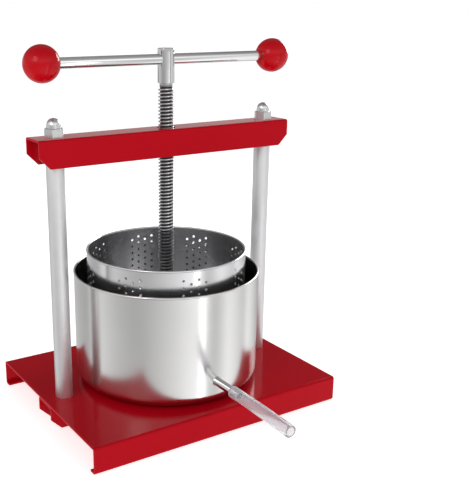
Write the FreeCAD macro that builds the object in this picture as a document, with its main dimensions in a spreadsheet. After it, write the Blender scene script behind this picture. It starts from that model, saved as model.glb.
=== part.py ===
import FreeCAD, Part
import math
import os

from FreeCAD import Placement, Rotation, Vector

# A small basket press for fruit and grapes. A folded steel base carries two posts and a crossbeam.
# A screw with a sliding tee handle turns in the nut under the crossbeam and pushes a pressing disc
# down through a perforated basket, which stands in a bucket with a drain spout and a clear hose.
#
# Millimetres. X runs along the crossbeam, the spout points to -Y and Z is up. The origin is on the
# floor, on the axis of the screw, which is also the middle of the base.

DIMENSIONS = [
    # folded sheet
    ("sheet_thickness", 2.5, "base, lower channel and crossbeam"),
    ("bend_outside", 3.0, "outside radius of every fold"),
    ("bend_inside", 0.8, "inside radius of every fold"),
    # base
    ("base_length", 330.0, "along X"),
    ("base_depth", 256.0, "along Y"),
    ("base_height", 31.0, "floor to top sheet"),
    ("base_lip", 10.0, "turned-in foot under the front and back flanges"),
    # crossbeam and lower channel
    ("beam_depth", 36.0, "outside, along Y"),
    ("beam_height", 31.0, "outside, along Z"),
    ("beam_top", 335.0, "top face of the crossbeam"),
    ("beam_corner", 12.5, "45 degree corner at the ends of the channels"),
    ("screw_window", 20.6, "hole for the screw in the crossbeam"),
    # posts
    ("post_offset", 140.0, "axis of each post from the screw"),
    ("post_diameter", 20.0, ""),
    ("stud_diameter", 12.0, "threaded ends of the posts, M12"),
    ("stud_hole", 13.0, "clearance hole for a stud"),
    ("stud_above", 11.5, "stud above the crossbeam"),
    ("stud_foot", 9.0, "floor to the lower end of a stud"),
    ("stud_bevel", 1.2, "lead-in at both stud ends"),
    # fasteners
    ("nut_flats", 19.0, "M12 nuts, across flats"),
    ("nut_corner_cut", 10.3, "radius at which the corners of a nut are bevelled"),
    ("acorn_hex", 9.5, "height of the hexagon of an acorn nut"),
    ("acorn_dome", 15.4, "diameter of the dome"),
    ("acorn_height", 20.5, "whole acorn nut"),
    ("acorn_bore", 13.0, "depth of the thread"),
    ("lower_nut", 10.0, "height of a lower nut"),
    ("thread_play", 0.04, "between a stud and its nut, on the diameter"),
    ("washer_diameter", 24.0, ""),
    ("washer_thickness", 2.5, ""),
    # press nut
    ("press_nut_diameter", 30.0, "round nut welded under the crossbeam"),
    ("press_nut_height", 25.0, ""),
    # screw, 18 x 4 trapezoidal
    ("thread_crest", 18.0, "outside diameter"),
    ("thread_root", 13.6, "core diameter"),
    ("thread_pitch", 4.0, ""),
    ("crest_width", 1.5, "axial width of a crest"),
    ("root_width", 2.6, "axial width of a ridge at the core"),
    ("nut_play", 0.1, "between screw and nut, square to every face"),
    ("thread_start", 92.2, "middle of the ridge where it begins"),
    ("core_base", 90.5, "step between the foot and the core"),
    ("relief_diameter", 14.8, "undercut between thread and head"),
    ("head_base", 385.5, "underside of the head"),
    ("head_top", 424.0, ""),
    ("head_diameter", 19.2, ""),
    ("head_bevel", 0.6, ""),
    # pressing disc and its socket
    ("disc_base", 67.0, "underside of the disc"),
    ("disc_diameter", 182.0, ""),
    ("disc_thickness", 4.0, ""),
    ("disc_edge", 1.0, "rounded rim of the disc"),
    ("socket_diameter", 30.0, ""),
    ("socket_height", 19.0, ""),
    ("socket_bore", 12.1, ""),
    ("socket_bevel", 1.0, ""),
    ("foot_diameter", 12.0, "plain foot of the screw"),
    ("foot_lift", 0.1, "foot above the disc"),
    ("groove_diameter", 8.0, "in the foot, for the set screws"),
    ("groove_width", 6.0, ""),
    ("groove_height", 10.0, "middle of the groove above the disc"),
    ("set_screw_diameter", 5.0, "M5"),
    ("set_screw_reach", 4.4, "tip of a set screw from the axis"),
    ("set_screw_length", 10.0, ""),
    ("set_screw_key", 2.5, "across flats of the hexagon socket"),
    ("set_screw_key_depth", 2.5, ""),
    # handle
    ("bar_height", 411.8, "axis of the bar"),
    ("bar_diameter", 12.0, ""),
    ("bar_hole", 12.2, "cross hole in the head"),
    ("bar_shoulder", 133.0, "middle of the bar to a knob's flat"),
    ("bar_tip_diameter", 10.0, "threaded end of the bar, M10"),
    ("bar_tip_length", 16.0, ""),
    ("bar_tip_bevel", 1.0, ""),
    ("knob_centre", 150.5, "middle of the bar to the middle of a ball"),
    ("knob_diameter", 40.0, ""),
    ("insert_diameter", 12.0, "brass insert moulded into a knob"),
    ("insert_length", 18.0, ""),
    ("insert_play", 0.04, "between insert and bar thread, on the diameter"),
    ("insert_end_gap", 1.0, "bottom of the hole in a knob beyond the insert"),
    # bucket
    ("bucket_diameter", 223.0, "outside of the wall"),
    ("bucket_rim", 166.3, "top of the rolled rim"),
    ("bucket_corner", 14.0, "outside radius at the foot"),
    ("bucket_floor", 194.0, "flat disc of the floor, a node of its own"),
    ("pot_sheet", 1.0, "sheet of bucket and basket"),
    ("rim_roll", 1.2, "radius of the rolled rims"),
    # spout and hose
    ("spout_height", 60.0, "axis of the spout above the floor"),
    ("spout_diameter", 10.0, ""),
    ("spout_bore", 8.0, ""),
    ("spout_end", 156.0, "tip of the spout from the screw axis"),
    ("spout_inset", 2.0, "spout inside the bucket wall"),
    ("spout_collar", 11.6, "weld bead on the bucket wall"),
    ("spout_collar_length", 0.8, ""),
    ("hose_diameter", 13.6, ""),
    ("hose_bore", 10.1, ""),
    # basket
    ("basket_diameter", 191.0, "outside of the wall"),
    ("basket_rim", 191.6, "top of the rolled rim"),
    ("drain_hole", 3.0, "diameter of a hole"),
    ("drain_top", 12.0, "rim to the highest row"),
    ("drain_pitch", 8.6, "between the holes of one column"),
    ("drain_column_angle", 5.4, "between neighbouring columns, degrees"),
    ("drain_group_phase", -11.5, "middle of the first group, degrees from -Y towards +X"),
]

THREAD_SECTIONS = 9             # the ridge is made in sections, each of this many turns
TURNS_PER_SECTION = 8

DRAIN_GROUPS = 8
DRAIN_COLUMNS = 4
DRAIN_ROWS = 15
LOW_START_GROUPS = (6, 7)      # groups whose first column starts half a pitch lower

# Middle line of the hose, from the end that is pushed on the spout to its free end.
HOSE_ROUTE = [
    Vector(0, -143.0, 60.0),
    Vector(0, -168.0, 60.0),
    Vector(0, -206.0, 59.3),
    Vector(0, -242.0, 57.8),
]

SIDES = (("left", -1), ("right", 1))

doc = FreeCAD.newDocument("BasketPress")
sizes = doc.addObject("Spreadsheet::Sheet", "Sizes")


def fill_sheet():
    for row, (alias, value, note) in enumerate(DIMENSIONS, start=1):
        sizes.set("A%d" % row, alias.replace("_", " "))
        sizes.set("B%d" % row, str(value))
        sizes.setAlias("B%d" % row, alias)
        sizes.set("C%d" % row, note)
    doc.recompute()


def size(alias):
    return float(sizes.get(alias))


def bind(thing, expressions):
    """Bind properties of an object to expressions over the sheet's aliases."""
    for path, expression in expressions.items():
        thing.setExpression(path, expression)


def place_at(thing, x="0 mm", y="0 mm", z="0 mm"):
    for axis, expression in (("x", x), ("y", y), ("z", z)):
        thing.setExpression("Placement.Base." + axis, expression)


def primitive(kind, name, sizes_of, x="0 mm", y="0 mm", z="0 mm"):
    thing = doc.addObject("Part::" + kind, name)
    bind(thing, sizes_of)
    place_at(thing, x, y, z)
    return thing


def cylinder(name, diameter, height, x="0 mm", y="0 mm", z="0 mm"):
    return primitive("Cylinder", name, {"Radius": "(%s) / 2" % diameter, "Height": height}, x, y, z)


def cut(name, base, tool):
    result = doc.addObject("Part::Cut", name)
    result.Base = base
    result.Tool = tool
    return result


def fuse(name, things):
    result = doc.addObject("Part::MultiFuse", name)
    result.Shapes = things
    return result


def common(name, things):
    result = doc.addObject("Part::MultiCommon", name)
    result.Shapes = things
    return result


def label(thing, node):
    thing.Label = node
    return thing


def new_body(name):
    return doc.addObject("PartDesign::Body", name)


def grow(body, kind, name, sizes_of, x="0 mm", y="0 mm", z="0 mm"):
    """Add one PartDesign feature with its sizes and its place inside the body."""
    feature = body.newObject("PartDesign::" + kind, name)
    bind(feature, sizes_of)
    place_at(feature, x, y, z)
    return feature


def edges_where(feature, test):
    """Names of the edges of a feature for which test(middle, edge) holds."""
    doc.recompute()
    names = []
    for number, edge in enumerate(feature.Shape.Edges, start=1):
        if test(edge.CenterOfMass, edge):
            names.append("Edge%d" % number)
    return names


def dress(body, kind, name, base, edge_names, sizes_of):
    """Add a fillet or chamfer on named edges of a feature."""
    feature = body.newObject("PartDesign::" + kind, name)
    feature.Base = (base, edge_names)
    bind(feature, sizes_of)
    return feature


def near(a, b):
    return abs(a - b) < 0.01


def runs_along_x(edge):
    first, last = edge.Vertexes[0].Point, edge.Vertexes[-1].Point
    return near(first.y, last.y) and near(first.z, last.z) and not near(first.x, last.x)


# ---- folded sheet --------------------------------------------------------------------------

def folded_channel(name, length, depth, height, top):
    """Inverted U with open ends; length, depth, height and top are expressions."""
    sheet = "Sizes.sheet_thickness"
    body = new_body(name)
    grow(
        body, "AdditiveBox", name + "_block",
        {"Length": length, "Width": depth, "Height": height},
        "-(%s) / 2" % length, "-(%s) / 2" % depth, "%s - (%s)" % (top, height),
    )
    hollow = grow(
        body, "SubtractiveBox", name + "_hollow",
        {
            "Length": length,
            "Width": "%s - 2 * %s" % (depth, sheet),
            "Height": "%s - %s" % (height, sheet),
        },
        "-(%s) / 2" % length, "-(%s) / 2 + %s" % (depth, sheet), "%s - (%s)" % (top, height),
    )
    return body, hollow


def fold_edges(feature, y, z):
    return edges_where(
        feature,
        lambda middle, edge: near(abs(middle.y), y) and near(middle.z, z) and runs_along_x(edge),
    )


def round_folds(body, name, base, half_depth, height, downward):
    """Round the front and back folds; downward is 1 where the inside of a fold is below it, else -1."""
    sheet = size("sheet_thickness")
    outer = dress(
        body, "Fillet", name + "_outside", base, fold_edges(base, half_depth, height),
        {"Radius": "Sizes.bend_outside"},
    )
    inner_edges = fold_edges(outer, half_depth - sheet, height - downward * sheet)
    return dress(body, "Fillet", name + "_inside", outer, inner_edges, {"Radius": "Sizes.bend_inside"})


def cut_corners(body, name, base, length, bottom):
    """Cut the lower corners of both flanges at both ends."""
    def at_a_corner(middle, edge):
        return near(abs(middle.x), length / 2) and near(middle.z, bottom) and not runs_along_x(edge)

    edges = edges_where(base, at_a_corner)
    return dress(body, "Chamfer", name + "_corners", base, edges, {"Size": "Sizes.beam_corner"})


def stud_holes(body, name):
    for side, sign in SIDES:
        grow(
            body, "SubtractiveCylinder", "%s_%s_stud_hole" % (name, side),
            {"Radius": "Sizes.stud_hole / 2", "Height": "Sizes.beam_top"},
            "%d * Sizes.post_offset" % sign,
        )


def make_base_tray():
    name = "base_tray"
    body, hollow = folded_channel(
        name, "Sizes.base_length", "Sizes.base_depth", "Sizes.base_height", "Sizes.base_height",
    )
    feet = hollow
    lips = (("front", "-Sizes.base_depth / 2"), ("back", "Sizes.base_depth / 2 - Sizes.base_lip"))
    for side, y in lips:
        feet = grow(
            body, "AdditiveBox", "%s_%s_lip" % (name, side),
            {"Length": "Sizes.base_length", "Width": "Sizes.base_lip", "Height": "Sizes.sheet_thickness"},
            "-Sizes.base_length / 2", y,
        )
    half_depth = size("base_depth") / 2
    folds = round_folds(body, name + "_top_fold", feet, half_depth, size("base_height"), 1)
    round_folds(body, name + "_foot_fold", folds, half_depth, 0.0, -1)
    stud_holes(body, name)
    return label(body, name)


def make_lower_channel():
    name = "lower_channel"
    top = "(Sizes.base_height - Sizes.sheet_thickness)"
    body, hollow = folded_channel(name, "Sizes.base_length", "Sizes.beam_depth", top, top)
    web = size("base_height") - size("sheet_thickness")
    folds = round_folds(body, name + "_fold", hollow, size("beam_depth") / 2, web, 1)
    cut_corners(body, name, folds, size("base_length"), 0.0)
    stud_holes(body, name)
    return label(body, name)


def make_crossbeam():
    name = "crossbeam"
    body, hollow = folded_channel(
        name, "Sizes.base_length", "Sizes.beam_depth", "Sizes.beam_height", "Sizes.beam_top",
    )
    folds = round_folds(body, name + "_fold", hollow, size("beam_depth") / 2, size("beam_top"), 1)
    cut_corners(body, name, folds, size("base_length"), size("beam_top") - size("beam_height"))
    stud_holes(body, name)
    grow(
        body, "SubtractiveCylinder", name + "_screw_window",
        {"Radius": "Sizes.screw_window / 2", "Height": "Sizes.beam_top"},
    )
    return label(body, name)


# ---- posts and their fasteners ---------------------------------------------------------------

def make_post(side, sign):
    name = side + "_post"
    body = new_body(name)
    grow(
        body, "AdditiveCylinder", name + "_shank",
        {
            "Radius": "Sizes.post_diameter / 2",
            "Height": "Sizes.beam_top - Sizes.sheet_thickness - Sizes.base_height",
        },
        z="Sizes.base_height",
    )
    studs = grow(
        body, "AdditiveCylinder", name + "_studs",
        {
            "Radius": "Sizes.stud_diameter / 2",
            "Height": "Sizes.beam_top + Sizes.stud_above - Sizes.stud_foot",
        },
        z="Sizes.stud_foot",
    )
    ends = (size("stud_foot"), size("beam_top") + size("stud_above"))
    edges = edges_where(studs, lambda middle, edge: any(near(middle.z, end) for end in ends))
    dress(body, "Chamfer", name + "_lead_in", studs, edges, {"Size": "Sizes.stud_bevel"})
    body.setExpression("Placement.Base.x", "%d * Sizes.post_offset" % sign)
    return label(body, name)


def hexagon(name, height, bevel_below):
    """Hexagon of an M12 nut, flats square to Y, with the corners bevelled at 30 degrees."""
    prism = primitive(
        "Prism", name + "_prism", {"Circumradius": "Sizes.nut_flats / 2 / cos(30)", "Height": height},
    )
    prism.Polygon = 6
    narrow = "Sizes.nut_corner_cut"
    wide = "Sizes.nut_corner_cut + (%s) / tan(30)" % height
    solids = [prism]
    solids.append(primitive(
        "Cone", name + "_bevel_above", {"Radius1": wide, "Radius2": narrow, "Height": height},
    ))
    if bevel_below:
        solids.append(primitive(
            "Cone", name + "_bevel_below", {"Radius1": narrow, "Radius2": wide, "Height": height},
        ))
    return common(name + "_hexagon", solids)


def make_acorn_nut(side, sign):
    name = side + "_acorn_nut"
    solid_hexagon = hexagon(name, "Sizes.acorn_hex", False)
    neck_height = "Sizes.acorn_height - Sizes.acorn_dome / 2"
    neck = cylinder(name + "_neck", "Sizes.acorn_dome", neck_height)
    dome = primitive("Sphere", name + "_dome", {"Radius": "Sizes.acorn_dome / 2"}, z=neck_height)
    cap = fuse(name + "_cap", [solid_hexagon, neck, dome])
    thread = cylinder(name + "_thread", "Sizes.stud_diameter + Sizes.thread_play", "Sizes.acorn_bore")
    nut = cut(name, cap, thread)
    place_at(nut, "%d * Sizes.post_offset" % sign, z="Sizes.beam_top")
    return label(nut, name)


def make_lower_nut(side, sign):
    name = side + "_lower_nut"
    thread = cylinder(name + "_thread", "Sizes.stud_diameter + Sizes.thread_play", "Sizes.lower_nut")
    nut = cut(name, hexagon(name, "Sizes.lower_nut", True), thread)
    under = "Sizes.base_height - 2 * Sizes.sheet_thickness - Sizes.washer_thickness - Sizes.lower_nut"
    place_at(nut, "%d * Sizes.post_offset" % sign, z=under)
    return label(nut, name)


def make_lower_washer(side, sign):
    name = side + "_lower_washer"
    plate = cylinder(name + "_plate", "Sizes.washer_diameter", "Sizes.washer_thickness")
    hole = cylinder(name + "_hole", "Sizes.stud_hole", "Sizes.washer_thickness")
    washer = cut(name, plate, hole)
    under = "Sizes.base_height - 2 * Sizes.sheet_thickness - Sizes.washer_thickness"
    place_at(washer, "%d * Sizes.post_offset" % sign, z=under)
    return label(washer, name)


# ---- screw and nut ---------------------------------------------------------------------------

def ridge_section(start, play):
    """Helical ridge of TURNS_PER_SECTION turns that begins at height start, grown by play."""
    pitch = size("thread_pitch")
    core_radius = size("thread_root") / 2
    inner_radius = core_radius - 0.3 + play
    crest_radius = size("thread_crest") / 2 + play
    half_crest = size("crest_width") / 2 + play
    half_root = size("root_width") / 2 + play
    flank = (half_root - half_crest) / (crest_radius - core_radius - play)
    half_inner = half_root + flank * (core_radius + play - inner_radius)
    profile = Part.makePolygon([
        Vector(inner_radius, 0, start - half_inner),
        Vector(crest_radius, 0, start - half_crest),
        Vector(crest_radius, 0, start + half_crest),
        Vector(inner_radius, 0, start + half_inner),
        Vector(inner_radius, 0, start - half_inner),
    ])
    spine = Part.makeHelix(pitch, pitch * TURNS_PER_SECTION, inner_radius)
    spine.translate(Vector(0, 0, start))
    return Part.Wire(spine).makePipeShell([profile], True, True)


def thread_ridge():
    section_height = size("thread_pitch") * TURNS_PER_SECTION
    starts = [size("thread_start") + section_height * number for number in range(THREAD_SECTIONS)]
    sections = [ridge_section(start, 0.0) for start in starts]
    ridge = doc.addObject("Part::Feature", "screw_ridge")
    ridge.Shape = sections[0].multiFuse(sections[1:])
    return ridge


def screw_head(name):
    """Plain round head with both rims bevelled."""
    blank = cylinder(
        name + "_head_blank", "Sizes.head_diameter", "Sizes.head_top - Sizes.head_base",
        z="Sizes.head_base",
    )
    doc.recompute()
    bevel = size("head_bevel")
    rims = []
    for number, edge in enumerate(blank.Shape.Edges, start=1):
        if isinstance(edge.Curve, Part.Circle):
            rims.append((number, bevel, bevel))
    head = doc.addObject("Part::Chamfer", name + "_head")
    head.Base = blank
    head.Edges = rims
    return head


def make_press_screw():
    name = "press_screw"
    foot_base = "Sizes.disc_base + Sizes.disc_thickness + Sizes.foot_lift"
    foot = cylinder(
        name + "_foot", "Sizes.foot_diameter", "Sizes.core_base - (%s)" % foot_base, z=foot_base,
    )
    core = cylinder(
        name + "_core", "Sizes.thread_root", "Sizes.head_base - Sizes.core_base", z="Sizes.core_base",
    )
    last_turn = "Sizes.thread_start + %d * Sizes.thread_pitch" % (THREAD_SECTIONS * TURNS_PER_SECTION)
    relief_base = "%s + Sizes.root_width / 2" % last_turn
    relief = cylinder(
        name + "_relief", "Sizes.relief_diameter", "Sizes.head_base - (%s)" % relief_base, z=relief_base,
    )
    rod = fuse(name + "_rod", [foot, core, thread_ridge(), relief, screw_head(name)])
    groove_base = "Sizes.disc_base + Sizes.disc_thickness + Sizes.groove_height - Sizes.groove_width / 2"
    collar = cylinder(
        name + "_groove_outside", "2 * Sizes.foot_diameter", "Sizes.groove_width", z=groove_base,
    )
    neck = cylinder(name + "_groove_neck", "Sizes.groove_diameter", "Sizes.groove_width", z=groove_base)
    groove = cut(name + "_groove", collar, neck)
    hole = cylinder(name + "_bar_hole", "Sizes.bar_hole", "2 * Sizes.head_diameter")
    hole.Placement = Placement(Vector(), Rotation(Vector(0, 1, 0), 90))
    place_at(hole, "-Sizes.head_diameter", z="Sizes.bar_height")
    screw = cut(name, rod, fuse(name + "_cuts", [groove, hole]))
    return label(screw, name)


def make_press_nut():
    """Round nut, cut with a tap whose thread is in phase with the screw's and longer than the nut."""
    name = "press_nut"
    top = "Sizes.beam_top - Sizes.sheet_thickness"
    block = cylinder(
        name + "_block", "Sizes.press_nut_diameter", "Sizes.press_nut_height",
        z=top + " - Sizes.press_nut_height",
    )
    bottom = size("beam_top") - size("sheet_thickness") - size("press_nut_height")
    turns_up = math.floor((bottom - size("thread_start")) / size("thread_pitch"))
    tap_core = cylinder(
        name + "_tap_core", "Sizes.thread_root + 2 * Sizes.nut_play",
        "%d * Sizes.thread_pitch" % (TURNS_PER_SECTION + 2),
        z="Sizes.thread_start + %d * Sizes.thread_pitch" % (turns_up - 1),
    )
    tap_ridge = doc.addObject("Part::Feature", name + "_tap_ridge")
    ridge_start = size("thread_start") + turns_up * size("thread_pitch")
    tap_ridge.Shape = ridge_section(ridge_start, size("nut_play"))
    nut = cut(name, block, fuse(name + "_tap", [tap_core, tap_ridge]))
    return label(nut, name)


# ---- pressing disc ---------------------------------------------------------------------------

def make_pressing_disc():
    name = "pressing_disc"
    body = new_body(name)
    plate = grow(
        body, "AdditiveCylinder", name + "_plate",
        {"Radius": "Sizes.disc_diameter / 2", "Height": "Sizes.disc_thickness"}, z="Sizes.disc_base",
    )
    rims = edges_where(plate, lambda middle, edge: isinstance(edge.Curve, Part.Circle))
    dress(body, "Fillet", name + "_edge", plate, rims, {"Radius": "Sizes.disc_edge"})
    return label(body, name)


def make_disc_socket():
    name = "disc_socket"
    body = new_body(name)
    disc_top = "Sizes.disc_base + Sizes.disc_thickness"
    boss = grow(
        body, "AdditiveCylinder", name + "_boss",
        {"Radius": "Sizes.socket_diameter / 2", "Height": "Sizes.socket_height"}, z=disc_top,
    )
    top = size("disc_base") + size("disc_thickness") + size("socket_height")
    rims = edges_where(boss, lambda middle, edge: near(middle.z, top))
    dress(body, "Chamfer", name + "_bevel", boss, rims, {"Size": "Sizes.socket_bevel"})
    grow(
        body, "SubtractiveCylinder", name + "_bore",
        {"Radius": "Sizes.socket_bore / 2", "Height": "Sizes.socket_height"}, z=disc_top,
    )
    cross = grow(
        body, "SubtractiveCylinder", name + "_set_screw_holes",
        {"Radius": "Sizes.set_screw_diameter / 2", "Height": "2 * Sizes.socket_diameter"},
    )
    cross.Placement = Placement(Vector(), Rotation(Vector(1, 0, 0), 90))
    place_at(cross, y="Sizes.socket_diameter", z=disc_top + " + Sizes.groove_height")
    return label(body, name)


def make_set_screws():
    name = "set_screws"
    screws = []
    for side, turn in (("front", 90), ("back", -90)):
        blank = cylinder(
            "%s_%s_blank" % (name, side), "Sizes.set_screw_diameter", "Sizes.set_screw_length",
        )
        key = primitive(
            "Prism", "%s_%s_key" % (name, side),
            {"Circumradius": "Sizes.set_screw_key / 2 / cos(30)", "Height": "Sizes.set_screw_key_depth"},
            z="Sizes.set_screw_length - Sizes.set_screw_key_depth",
        )
        key.Polygon = 6
        screw = cut("%s_%s" % (name, side), blank, key)
        screw.Placement = Placement(Vector(), Rotation(Vector(1, 0, 0), turn))
        outward = -1 if turn > 0 else 1
        place_at(
            screw, y="%d * Sizes.set_screw_reach" % outward,
            z="Sizes.disc_base + Sizes.disc_thickness + Sizes.groove_height",
        )
        screws.append(screw)
    pair = doc.addObject("Part::Compound", name)
    pair.Links = screws
    return label(pair, name)


# ---- tee handle ------------------------------------------------------------------------------

def make_handle_bar():
    name = "handle_bar"
    body = new_body(name)
    grow(
        body, "AdditiveCylinder", name + "_grip",
        {"Radius": "Sizes.bar_diameter / 2", "Height": "2 * Sizes.bar_shoulder"}, z="-Sizes.bar_shoulder",
    )
    tip = "(Sizes.bar_shoulder + Sizes.bar_tip_length)"
    tips = grow(
        body, "AdditiveCylinder", name + "_tips",
        {"Radius": "Sizes.bar_tip_diameter / 2", "Height": "2 * " + tip}, z="-" + tip,
    )
    reach = size("bar_shoulder") + size("bar_tip_length")
    ends = edges_where(tips, lambda middle, edge: near(abs(middle.z), reach))
    dress(body, "Chamfer", name + "_tip_bevel", tips, ends, {"Size": "Sizes.bar_tip_bevel"})
    body.Placement = Placement(Vector(), Rotation(Vector(0, 1, 0), 90))
    place_at(body, z="Sizes.bar_height")
    return label(body, name)


def outward(thing, sign, distance):
    """Turn a thing built along Z to point away from the screw and move it out along the bar."""
    thing.Placement = Placement(Vector(), Rotation(Vector(0, 1, 0), 90 * sign))
    place_at(thing, "%d * %s" % (sign, distance), z="Sizes.bar_height")


def make_knob(side, sign):
    name = side + "_knob"
    flat = "(Sizes.knob_centre - Sizes.bar_shoulder)"
    ball = primitive("Sphere", name + "_ball", {
        "Radius": "Sizes.knob_diameter / 2",
        "Angle1": "-asin(2 * %s / Sizes.knob_diameter)" % flat,
    })
    depth = "Sizes.insert_length + Sizes.insert_end_gap"
    hole = cylinder(name + "_hole", "Sizes.insert_diameter", depth, z="-" + flat)
    knob = cut(name, ball, hole)
    outward(knob, sign, "Sizes.knob_centre")
    return label(knob, name)


def make_knob_insert(side, sign):
    name = side + "_knob_insert"
    sleeve = cylinder(name + "_sleeve", "Sizes.insert_diameter", "Sizes.insert_length")
    thread = cylinder(
        name + "_thread", "Sizes.bar_tip_diameter + Sizes.insert_play", "Sizes.insert_length",
    )
    insert = cut(name, sleeve, thread)
    outward(insert, sign, "Sizes.bar_shoulder")
    return label(insert, name)


# ---- bucket, spout and hose ------------------------------------------------------------------

def make_bucket():
    name = "bucket"
    body = new_body(name)
    blank = grow(
        body, "AdditiveCylinder", name + "_blank",
        {
            "Radius": "Sizes.bucket_diameter / 2",
            "Height": "Sizes.bucket_rim - Sizes.rim_roll - Sizes.base_height",
        },
        z="Sizes.base_height",
    )
    foot_edge = edges_where(blank, lambda middle, edge: near(middle.z, size("base_height")))
    corner = dress(body, "Fillet", name + "_corner", blank, foot_edge, {"Radius": "Sizes.bucket_corner"})
    doc.recompute()
    wall_top = size("bucket_rim") - size("rim_roll")
    mouth = []
    for number, face in enumerate(corner.Shape.Faces, start=1):
        if near(face.CenterOfMass.z, wall_top):
            mouth.append("Face%d" % number)
    shell = dress(body, "Thickness", name + "_shell", corner, mouth, {"Value": "Sizes.pot_sheet"})
    shell.Reversed = True
    grow(
        body, "AdditiveTorus", name + "_rolled_rim",
        {"Radius1": "(Sizes.bucket_diameter - Sizes.pot_sheet) / 2", "Radius2": "Sizes.rim_roll"},
        z="Sizes.bucket_rim - Sizes.rim_roll",
    )
    hole = grow(
        body, "SubtractiveCylinder", name + "_spout_hole",
        {"Radius": "Sizes.spout_diameter / 2", "Height": "Sizes.bucket_diameter"},
    )
    hole.Placement = Placement(Vector(), Rotation(Vector(1, 0, 0), 90))
    place_at(hole, z="Sizes.spout_height")
    grow(
        body, "SubtractiveCylinder", name + "_floor_cut",
        {"Radius": "Sizes.bucket_floor / 2", "Height": "2 * Sizes.pot_sheet"},
        z="Sizes.base_height - Sizes.pot_sheet / 2",
    )
    return label(body, name)


def make_bucket_floor():
    name = "bucket_floor"
    disc = cylinder(name + "_disc", "Sizes.bucket_floor", "Sizes.pot_sheet", z="Sizes.base_height")
    return label(disc, name)


def make_spout():
    name = "spout"
    inner_end = "(Sizes.bucket_diameter / 2 - Sizes.pot_sheet - Sizes.spout_inset)"
    length = "Sizes.spout_end - %s" % inner_end
    tube = cylinder(name + "_tube", "Sizes.spout_diameter", length, z=inner_end)
    collar_base = "(Sizes.bucket_diameter / 2 - Sizes.pot_sheet)"
    collar_blank = cylinder(
        name + "_collar_blank", "Sizes.spout_collar", "Sizes.spout_collar_length + Sizes.pot_sheet",
        z=collar_base,
    )
    wall = cylinder(name + "_wall", "Sizes.bucket_diameter", "2 * Sizes.spout_collar")
    wall.Placement = Placement(Vector(), Rotation(Vector(1, 0, 0), -90))
    place_at(wall, y="-Sizes.spout_collar")
    collar = cut(name + "_collar", collar_blank, wall)
    bore = cylinder(name + "_bore", "Sizes.spout_bore", "Sizes.spout_end")
    spout = cut(name, fuse(name + "_blank", [tube, collar]), bore)
    spout.Placement = Placement(Vector(), Rotation(Vector(1, 0, 0), 90))
    place_at(spout, z="Sizes.spout_height")
    return label(spout, name)


def rounded_path(points):
    """Straight runs between the points, joined by tangent arcs that are as large as the runs allow."""
    edges = []
    start = points[0]
    for before, corner, after in zip(points, points[1:], points[2:]):
        incoming = (corner - before).normalize()
        outgoing = (after - corner).normalize()
        half_turn = incoming.getAngle(outgoing) / 2
        setback = 0.45 * min((corner - before).Length, (after - corner).Length)
        radius = setback / math.tan(half_turn)
        print("hose bend radius %.0f mm" % radius)
        arc_start = corner - incoming * setback
        arc_end = corner + outgoing * setback
        towards_centre = (outgoing - incoming).normalize()
        arc_middle = corner + towards_centre * (radius / math.cos(half_turn) - radius)
        edges.append(Part.LineSegment(start, arc_start).toShape())
        edges.append(Part.Arc(arc_start, arc_middle, arc_end).toShape())
        start = arc_end
    edges.append(Part.LineSegment(start, points[-1]).toShape())
    return Part.Wire(edges)


def pipe_along(path, radius):
    start = path.Edges[0].Vertexes[0].Point
    circle = Part.makeCircle(radius, start, path.Edges[0].tangentAt(path.Edges[0].FirstParameter))
    return path.makePipeShell([Part.Wire(circle)], True, True)


def make_drain_hose():
    name = "drain_hose"
    path = rounded_path(HOSE_ROUTE)
    outer_radius = size("hose_diameter") / 2
    inner_radius = size("hose_bore") / 2
    hose = doc.addObject("Part::Feature", name)
    hose.Shape = pipe_along(path, outer_radius).cut(pipe_along(path, inner_radius))
    expected = math.pi * (outer_radius ** 2 - inner_radius ** 2) * path.Length
    print("hose length %.1f mm, volume %.1f of %.1f mm3" % (path.Length, hose.Shape.Volume, expected))
    return label(hose, name)


# ---- basket ----------------------------------------------------------------------------------

def drain_hole_pins():
    """One pin for every hole: eight groups of four columns, neighbouring columns half a pitch apart."""
    radius = size("drain_hole") / 2
    wall_radius = size("basket_diameter") / 2
    length = 4 * size("pot_sheet")
    pins = []
    for group in range(DRAIN_GROUPS):
        middle = size("drain_group_phase") + group * 360.0 / DRAIN_GROUPS
        for column in range(DRAIN_COLUMNS):
            angle = math.radians(middle + (column - (DRAIN_COLUMNS - 1) / 2) * size("drain_column_angle"))
            outward_direction = Vector(math.sin(angle), -math.cos(angle), 0)
            starts_low = (column + (group in LOW_START_GROUPS)) % 2
            top = size("basket_rim") - size("drain_top") - starts_low * size("drain_pitch") / 2
            for row in range(DRAIN_ROWS):
                height = top - row * size("drain_pitch")
                foot = outward_direction * (wall_radius - length / 2) + Vector(0, 0, height)
                pins.append(Part.makeCylinder(radius, length, foot, outward_direction))
    holes = doc.addObject("Part::Feature", "basket_drain_holes")
    holes.Shape = Part.makeCompound(pins)
    return holes


def make_basket():
    name = "basket"
    floor = "(Sizes.base_height + Sizes.pot_sheet)"
    height = "Sizes.basket_rim - Sizes.rim_roll - %s" % floor
    outside = cylinder(name + "_outside", "Sizes.basket_diameter", height, z=floor)
    rim = primitive(
        "Torus", name + "_rolled_rim",
        {"Radius1": "(Sizes.basket_diameter - Sizes.pot_sheet) / 2", "Radius2": "Sizes.rim_roll"},
        z="Sizes.basket_rim - Sizes.rim_roll",
    )
    inside = cylinder(name + "_inside", "Sizes.basket_diameter - 2 * Sizes.pot_sheet", height, z=floor)
    sleeve = fuse(name + "_sleeve", [cut(name + "_wall", outside, inside), rim])
    basket = cut(name, sleeve, drain_hole_pins())
    return label(basket, name)


# ---- the whole press -------------------------------------------------------------------------

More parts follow.
